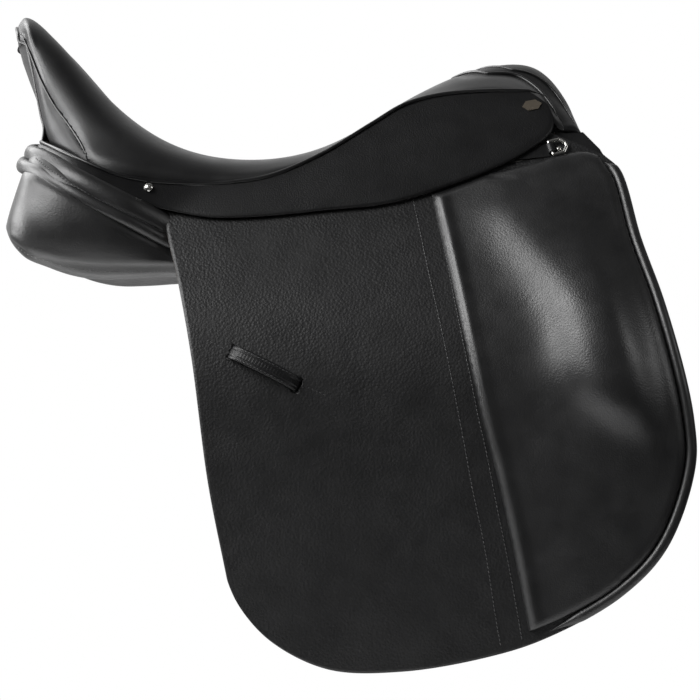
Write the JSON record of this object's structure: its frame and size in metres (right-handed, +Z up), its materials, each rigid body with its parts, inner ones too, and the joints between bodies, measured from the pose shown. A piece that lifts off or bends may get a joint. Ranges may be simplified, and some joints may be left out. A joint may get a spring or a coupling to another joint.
{
  "type": "english saddle",
  "caption": "Deep-seated leather riding saddle with high cantle, padded seat, long flaps with knee pads, folding skirts, stirrup bars, girth straps, dees, tree and wool-flocked panels.",
  "frame": {"origin": "centre plane, at the roof of the gullet channel under the lowest part of the seat", "axes": "+X towards the pommel, +Y towards the horse's left, +Z up"},
  "size_m": [0.5527, 0.4338, 0.5335],
  "materials": {
    "seat_leather": "smooth black hide with a soft sheen",
    "flap_leather": "pebble-grained black hide",
    "panel_leather": "soft black hide",
    "strap_leather": "waxed black strap leather",
    "raw_leather": "brown lining leather",
    "foam": "open foam",
    "webbing": "woven linen webbing",
    "beech": "laminated beech",
    "spring_steel": "blued",
    "nickel": "polished nickel"
  },
  "bodies": {
    "saddle": {"tree_head": "beech", "tree_cantle": "beech", "head_plate": "spring_steel", "gullet_plate": "spring_steel", "seat_cover": "seat_leather", "seat_foam": "foam", "pommel_cap": "seat_leather", "cantle_gusset": "seat_leather", "cantle_back": "seat_leather", "seat_web_long": "webbing", "seat_web_cross": "webbing", "gullet_lining": "panel_leather", "tree_rail_right": "beech", "tree_spring_right": "spring_steel", "skirt_top_right": "flap_leather", "skirt_band_right": "flap_leather", "flap_top_right": "flap_leather", "panel_right": "panel_leather", "sweat_flap_right": "raw_leather", "point_pocket_right": "panel_leather", "stirrup_bar_right": "nickel", "girth_web_front_right": "webbing", "girth_web_rear_right": "webbing", "saddle_nail_right": "nickel", "badge_right": "nickel", "dee_chape_right": "strap_leather", "dee_nail_right": "nickel", "tree_rail_left": "beech", "tree_spring_left": "spring_steel", "skirt_top_left": "flap_leather", "skirt_band_left": "flap_leather", "flap_top_left": "flap_leather", "panel_left": "panel_leather", "sweat_flap_left": "raw_leather", "point_pocket_left": "panel_leather", "stirrup_bar_left": "nickel", "girth_web_front_left": "webbing", "girth_web_rear_left": "webbing", "saddle_nail_left": "nickel", "badge_left": "nickel", "dee_chape_left": "strap_leather", "dee_nail_left": "nickel"},
    "skirt_right_fold": {"skirt_right": "flap_leather"},
    "flap_right_fold": {"flap_right": "flap_leather", "knee_pad_right": "seat_leather", "keeper_right": "strap_leather"},
    "catch_right": {"bar_catch_right": "nickel"},
    "dee_right": {"dee_ring_right": "nickel"},
    "billet_front_right_strap": {"billet_front_right": "strap_leather"},
    "billet_rear_right_strap": {"billet_rear_right": "strap_leather"},
    "skirt_left_fold": {"skirt_left": "flap_leather"},
    "flap_left_fold": {"flap_left": "flap_leather", "knee_pad_left": "seat_leather", "keeper_left": "strap_leather"},
    "catch_left": {"bar_catch_left": "nickel"},
    "dee_left": {"dee_ring_left": "nickel"},
    "billet_front_left_strap": {"billet_front_left": "strap_leather"},
    "billet_rear_left_strap": {"billet_rear_left": "strap_leather"}
  },
  "joints": [
    {"name": "skirt_right_lift", "type": "hinge", "parent": "saddle", "child": "skirt_right_fold", "pos_m": [-0.098, -0.13706, -0.0015], "axis": [-0.9699, -0.1218, -0.2109], "range_deg": [0, 95]},
    {"name": "skirt_left_lift", "type": "hinge", "parent": "saddle", "child": "skirt_left_fold", "pos_m": [-0.098, 0.13706, -0.0015], "axis": [0.9699, -0.1218, 0.2109], "range_deg": [0, 95]},
    {"name": "flap_right_lift", "type": "hinge", "parent": "saddle", "child": "flap_right_fold", "pos_m": [0.0876, -0.13019, 0.0014], "axis": [-0.9545, -0.1491, -0.2582], "range_deg": [0, 95]},
    {"name": "flap_left_lift", "type": "hinge", "parent": "saddle", "child": "flap_left_fold", "pos_m": [0.0876, 0.13019, 0.0014], "axis": [0.9545, -0.1491, 0.2582], "range_deg": [0, 95]},
    {"name": "catch_right_turn", "type": "hinge", "parent": "saddle", "child": "catch_right", "pos_m": [0.136, -0.11118, 0.03433], "axis": [0, 0.866, -0.5], "range_deg": [0, 70]},
    {"name": "catch_left_turn", "type": "hinge", "parent": "saddle", "child": "catch_left", "pos_m": [0.136, 0.11118, 0.03433], "axis": [0, 0.866, 0.5], "range_deg": [0, 70]},
    {"name": "dee_right_swing", "type": "hinge", "parent": "saddle", "child": "dee_right", "pos_m": [0.2152, -0.10511, 0.05145], "axis": [0.2756, -0.4806, -0.8325], "range_deg": [0, 100]},
    {"name": "dee_left_swing", "type": "hinge", "parent": "saddle", "child": "dee_left", "pos_m": [0.2152, 0.10511, 0.05145], "axis": [-0.2756, -0.4806, 0.8325], "range_deg": [0, 100]},
    {"name": "billet_front_right_swing", "type": "hinge", "parent": "saddle", "child": "billet_front_right_strap", "pos_m": [0.11, -0.12956, -0.014], "axis": [0, -1, 0], "range_deg": [-6, 6]},
    {"name": "billet_front_left_swing", "type": "hinge", "parent": "saddle", "child": "billet_front_left_strap", "pos_m": [0.11, 0.12956, -0.014], "axis": [0, -1, 0], "range_deg": [-6, 6]},
    {"name": "billet_rear_right_swing", "type": "hinge", "parent": "saddle", "child": "billet_rear_right_strap", "pos_m": [0.024, -0.12956, -0.014], "axis": [0, -1, 0], "range_deg": [-6, 6]},
    {"name": "billet_rear_left_swing", "type": "hinge", "parent": "saddle", "child": "billet_rear_left_strap", "pos_m": [0.024, 0.12956, -0.014], "axis": [0, -1, 0], "range_deg": [-6, 6]}
  ]
}
